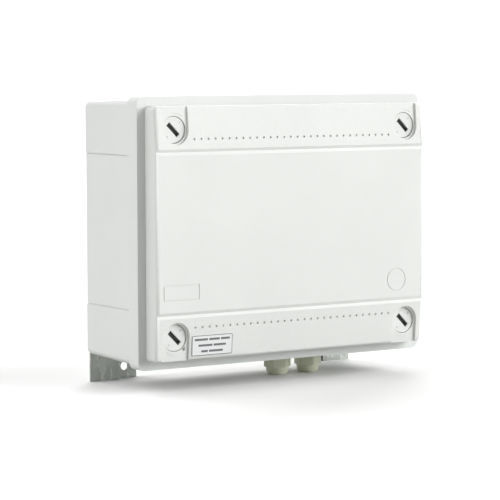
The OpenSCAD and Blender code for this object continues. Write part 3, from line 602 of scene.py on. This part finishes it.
def finish_pockets():
    """A slim raised arc on the sloping floor of each screw pocket, beside the head."""
    floor_over_head = 1.13 * MM
    radius, line, height = 12.0 * MM, 0.5 * MM, 0.25 * MM
    slope = abs(facing_tilt("label"))
    for node in [n for n in NODES if n.startswith("lid_screw_")]:
        side, start, end = (-1, -125, -82) if "bottom" in node else (1, 52, 98)
        place = Matrix.Translation(front_of(node) - Vector((0, floor_over_head, 0)))
        place = place @ Matrix.Rotation(-side * slope, 4, "X")
        set_down(node + "_arc", line_arc(radius, line, start, end, height), place, "lid", "lid_plastic")


def print_lines(name, place, node, lengths, top, pitch,
                shift=0.0, over=0.22 * MM, line=0.8 * MM, corner=0.3 * MM):
    """Plain ink lines in front of a place, from the top down. Each row is shifted sideways from the last."""
    ink = 0.05 * MM
    for row, length in enumerate(lengths):
        spot = place @ Matrix.Translation((shift * row, -over, top - pitch * row))
        set_down("%s_%d" % (name, row), plate(length, line, corner, ink), spot, node, "sticker", INK)


def finish_fuse_plates():
    """Two blank plates on the front of each fuse carrier and three ink lines on the upper one."""
    width, corner, proud, sink, nose = 24 * MM, 0.8 * MM, 0.25 * MM, 0.05 * MM, 3 * MM
    upper_height, upper_down, lower_height, lower_up = 11 * MM, 8.5 * MM, 7 * MM, 10.5 * MM
    for index in (1, 2):
        node = "fuse_carrier_%d" % index
        low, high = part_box(node)
        x, front = (low[0] + high[0]) / 2, low[1] + nose
        upper, lower = (high[2] - upper_down, upper_height), (low[2] + lower_up, lower_height)
        for name, (z, height) in (("upper", upper), ("lower", lower)):
            place = Matrix.Translation((x, front + sink, z))
            shape = plate(width, height, corner, proud)
            set_down("fuse_plate_%s_%d" % (name, index), shape, place, node, "sticker")
        print_lines("fuse_line_%d" % index, Matrix.Translation((x, front, high[2])), node,
                    (20 * MM, 15 * MM, 10 * MM), top=-5.6 * MM, pitch=2.8 * MM, over=0.18 * MM)


def finish_breaker_plates():
    """A blank plate with two ink lines above and below the breaker's lever."""
    node = "breaker_body"
    width, height, corner, proud, sink = 30 * MM, 9 * MM, 0.8 * MM, 0.25 * MM, 0.05 * MM
    from_middle = 16 * MM
    low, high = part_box(node)
    x, middle = (low[0] + high[0]) / 2, (low[2] + high[2]) / 2
    for name, side in (("upper", 1), ("lower", -1)):
        place = Matrix.Translation((x, low[1] + sink, middle + side * from_middle))
        set_down("breaker_plate_" + name, plate(width, height, corner, proud), place, node, "sticker")
        print_lines("breaker_line_" + name, place, node, (22 * MM, 16 * MM),
                    top=1.6 * MM, pitch=3.0 * MM, shift=-3 * MM)


def finish_cartridges():
    """Green state window, blank plate with ink lines and grip ribs on each surge cartridge.

    Each size is a width, a height, a corner radius and a thickness.
    """
    window_size, window_sink, window_up = (6.6 * MM, 4.6 * MM, 0.4 * MM, 0.3 * MM), 0.55 * MM, 6.5 * MM
    plate_size, plate_sink, plate_down = (13 * MM, 11 * MM, 0.8 * MM, 0.25 * MM), 0.05 * MM, 5 * MM
    rib_size, rib_sink = (12 * MM, 0.7 * MM, 0.3 * MM, 0.45 * MM), 0.1 * MM
    ribs, rib_up, rib_pitch = 4, 11 * MM, 1.3 * MM
    for index in (1, 2, 3):
        node = "surge_cartridge_%d" % index
        low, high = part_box(node)
        x, front, middle = (low[0] + high[0]) / 2, low[1], (low[2] + high[2]) / 2
        window = Matrix.Translation((x, front + window_sink, middle + window_up))
        set_down("surge_window_%d" % index, plate(*window_size), window, node, "earth_plastic", WINDOW)
        place = Matrix.Translation((x, front + plate_sink, middle - plate_down))
        set_down("surge_plate_%d" % index, plate(*plate_size), place, node, "sticker")
        print_lines("surge_line_%d" % index, place, node, (10 * MM, 8 * MM, 6 * MM),
                    top=3 * MM, pitch=3 * MM, line=0.7 * MM, corner=0.25 * MM)
        for rib in range(ribs):
            spot = Matrix.Translation((x, front + rib_sink, middle + rib_up + rib * rib_pitch))
            set_down("surge_rib_%d_%d" % (index, rib), plate(*rib_size), spot, node, "surge_plastic")


def finish_lever():
    """Three grip ribs across the breaker's linked lever, near its tip."""
    node = "breaker_lever"
    length, height, corner, proud, pitch = 21 * MM, 0.7 * MM, 0.3 * MM, 0.35 * MM, 1.6 * MM
    mesh = NODES[node].data
    low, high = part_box(node)
    middle = (Vector(low) + Vector(high)) / 2
    tip = min(mesh.vertices, key=lambda vertex: vertex.co.y).co
    normal = max((p for p in mesh.polygons if p.normal.z > 0.5), key=lambda p: p.area).normal
    along = Vector((0, tip.y - middle.y, tip.z - middle.z)).normalized()
    turn = Matrix.Rotation(-math.atan2(normal.z, -normal.y), 4, "X")
    for rib in range(3):
        spot = Vector((middle.x, tip.y, tip.z)) - along * (1 + rib) * pitch
        place = Matrix.Translation(spot) @ turn
        set_down("lever_rib_%d" % rib, plate(length, height, corner, proud), place, node, "dark_plastic")


def finish_wires():
    """Grey crimp sleeve at each end of each wire, where it goes into its device."""
    wall, length = 0.35 * MM, 5.5 * MM
    for node in [n for n in NODES if n.endswith("_wire")]:
        low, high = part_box(node)
        radius, y = (high[1] - low[1]) / 2, (low[1] + high[1]) / 2
        down = -1 if node == "earth_wire" else 1
        for x, number in ((low[0] + radius, 1), (high[0] - radius, 2)):
            place = Matrix.Translation((x, y, wire_mouth(node, x, down)))
            set_down("%s_sleeve_%d" % (node, number), sleeve(radius, wall, down * length), place,
                     node, SLOT_OF[node], SLEEVE)


def wire_mouth(node, x, down):
    """Height at which a wire's end leaves its device. Down is 1 where the end points down."""
    reach_in, near = 6.3 * MM, 3 * MM
    heights = [v.co.z for v in NODES[node].data.vertices if abs(v.co.x - x) < near]
    return min(heights) + reach_in if down > 0 else max(heights) - reach_in


def sleeve(radius, wall, length, steps=28):
    """Short flared collar around a wire. Its outline is in shares of the wall and of the length."""
    outline = ((0.02, 0.0), (1.0, 0.0), (1.25, 0.12), (1.0, 0.3), (1.0, 0.62), (1.2, 0.7), (1.0, 0.78),
               (0.9, 1.0), (0.02, 1.0))
    shape = bmesh.new()
    rings = []
    for out, along in outline:
        r = radius + wall * out
        angles = (math.tau * i / steps for i in range(steps))
        rings.append([shape.verts.new((r * math.cos(a), r * math.sin(a), length * along)) for a in angles])
    return bridge(shape, rings)


def finish_carried_nodes():
    """Every CAD node that no piece stands for."""
    for node in NODES:
        if not NODES[node].hide_render:
            finish_node(node, 0.25 * MM)


def finish_enclosure():
    """Base box with its rim's outer edges rounded, and the two brackets."""
    outer_x, outer_z, near = 123 * MM, 95.5 * MM, 0.1 * MM
    low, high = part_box("base_box")
    middle = (Vector(low) + Vector(high)) / 2
    rim_front, rim_back = low[1] + 4 * MM, low[1] + 17.2 * MM

    def rim_edge(edge, at):
        outer = abs(at.x - middle.x) > outer_x or abs(at.z - middle.z) > outer_z
        return outer and (abs(at.y - rim_front) < near or abs(at.y - rim_back) < near)

    rounded_node("base_box", [(rim_edge, 1.3 * MM)])
    for node in ("bracket_left", "bracket_right"):
        rounded_node(node, [(any_edge, 0.3 * MM)])


def finish_lid():
    """Lid with broad soft edges at its two grooves and narrow ones round the screw pockets."""
    groove_from, groove_to, groove_length = 55 * MM, 62.5 * MM, 20 * MM
    pocket_from, pocket_to, pocket_reach, screw_x = 64 * MM, 91 * MM, 12.0 * MM, 103 * MM
    low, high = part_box("lid")
    middle_z = (low[2] + high[2]) / 2

    def groove_edge(edge, at):
        near = groove_from < abs(at.z - middle_z) < groove_to
        return near and edge.calc_length() > groove_length and at.y < low[1] + 2 * MM

    def pocket_edge(edge, at):
        near = abs(abs(at.x) - screw_x) < pocket_reach and pocket_from < abs(at.z - middle_z) < pocket_to
        return near and at.y < low[1] + 3 * MM

    rounded_node("lid", [(groove_edge, 1.4 * MM), (pocket_edge, 0.3 * MM)], sharper_than=12)


# ---- The scene ----

MATERIALS = make_materials()
# Painted shade: near-black colour of the lining in each screw slot, standing for the shade deep in the slot.
PAINTED_SLOT_SHADE = moulded_plastic("slot_core", (0.085, 0.10, 0.085), 0.45, 0.01, 3.0)
MARK_PLASTIC = moulded_plastic("mark_plastic", (0.50, 0.52, 0.50), 0.5, 0.01, 1.5)
INK = printed_paper("ink", (0.135, 0.14, 0.15), 0.45)
WINDOW = moulded_plastic("window_green", (0.03, 0.30, 0.06), 0.25, 0.004, 2.0)
SLEEVE = moulded_plastic("sleeve_grey", (0.42, 0.43, 0.44), 0.38, 0.006, 1.5)

make_studio()
finish_enclosure()
finish_lid()
finish_screws()
finish_pockets()
finish_label()
finish_fuse_plates()
finish_breaker_plates()
finish_cartridges()
finish_lever()
finish_wires()
finish_carried_nodes()
